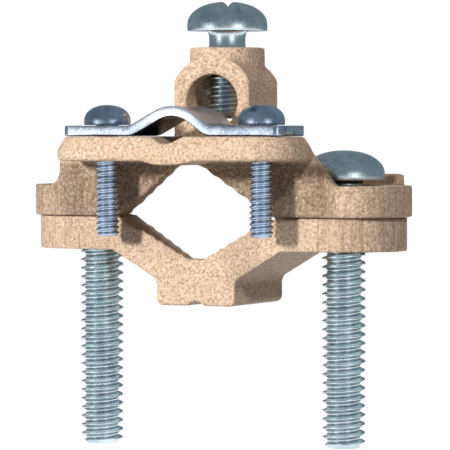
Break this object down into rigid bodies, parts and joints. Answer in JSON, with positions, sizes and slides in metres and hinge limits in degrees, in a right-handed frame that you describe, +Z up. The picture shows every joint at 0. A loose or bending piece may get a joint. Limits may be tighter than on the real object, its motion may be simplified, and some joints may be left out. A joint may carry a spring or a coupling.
{
  "type": "earthing pipe clamp",
  "caption": "Cast bronze earthing clamp: two toothed V jaws pulled onto a pipe by two screws, with a screw-down wire lug on top and a bent strap over a cable shelf in front.",
  "frame": {"origin": "midway between the two long screws' axes, on the plane where the jaws meet, which is near the gripped pipe's centre", "axes": "+X from the left long screw to the right one, +Y along the pipe towards the back, +Z up towards the wire lug"},
  "size_m": [0.0576, 0.0296, 0.0644],
  "materials": {
    "cast_bronze": "sand-cast bronze, grainy and matt with small bright grains",
    "zinc_steel": "zinc plated, slightly dull, blue-grey",
    "blue_zinc_steel": "zinc plated, glossy, with a blue tint",
    "bright_zinc_steel": "bright zinc plated strip with sheared edges"
  },
  "bodies": {
    "upper_jaw_body": {"upper_jaw": "cast_bronze"},
    "lower_jaw_body": {"lower_jaw": "cast_bronze"},
    "main_screw_left_body": {"main_screw_left": "zinc_steel"},
    "main_screw_right_body": {"main_screw_right": "zinc_steel"},
    "wire_set_screw_body": {"wire_set_screw": "zinc_steel"},
    "cable_strap_body": {"cable_strap": "bright_zinc_steel"},
    "strap_screw_left_body": {"strap_screw_left": "blue_zinc_steel"},
    "strap_screw_right_body": {"strap_screw_right": "blue_zinc_steel"}
  },
  "joints": [
    {"name": "lower_jaw_travel", "type": "slide", "parent": "upper_jaw_body", "child": "lower_jaw_body", "axis": [0, 0, -1], "range_m": [0, 0.0247]},
    {"name": "main_screw_left_turn", "type": "hinge", "parent": "upper_jaw_body", "child": "main_screw_left_body", "pos_m": [-0.01905, 0, 0], "axis": [0, 0, 1], "range_deg": [0, 7002]},
    {"name": "main_screw_right_turn", "type": "hinge", "parent": "upper_jaw_body", "child": "main_screw_right_body", "pos_m": [0.01905, 0, 0], "axis": [0, 0, 1], "range_deg": [0, 7002]},
    {"name": "wire_screw_travel", "type": "slide", "parent": "upper_jaw_body", "child": "wire_set_screw_body", "axis": [0, 0, 1], "range_m": [-0.0004, 0.006]},
    {"name": "strap_screw_left_travel", "type": "slide", "parent": "upper_jaw_body", "child": "strap_screw_left_body", "axis": [0, 0, 1], "range_m": [0, 0.007]},
    {"name": "strap_screw_right_travel", "type": "slide", "parent": "upper_jaw_body", "child": "strap_screw_right_body", "axis": [0, 0, 1], "range_m": [0, 0.007]},
    {"name": "cable_strap_lift", "type": "slide", "parent": "upper_jaw_body", "child": "cable_strap_body", "axis": [0, 0, 1], "range_m": [0, 0.007]}
  ],
  "couplings": [
    {"joint": "main_screw_left_turn", "follows": "lower_jaw_travel", "rad_per_m": 4947.4},
    {"joint": "main_screw_right_turn", "follows": "lower_jaw_travel", "rad_per_m": 4947.4},
    {"joint": "strap_screw_right_travel", "follows": "strap_screw_left_travel", "ratio": 1},
    {"joint": "cable_strap_lift", "follows": "strap_screw_left_travel", "ratio": 1}
  ]
}
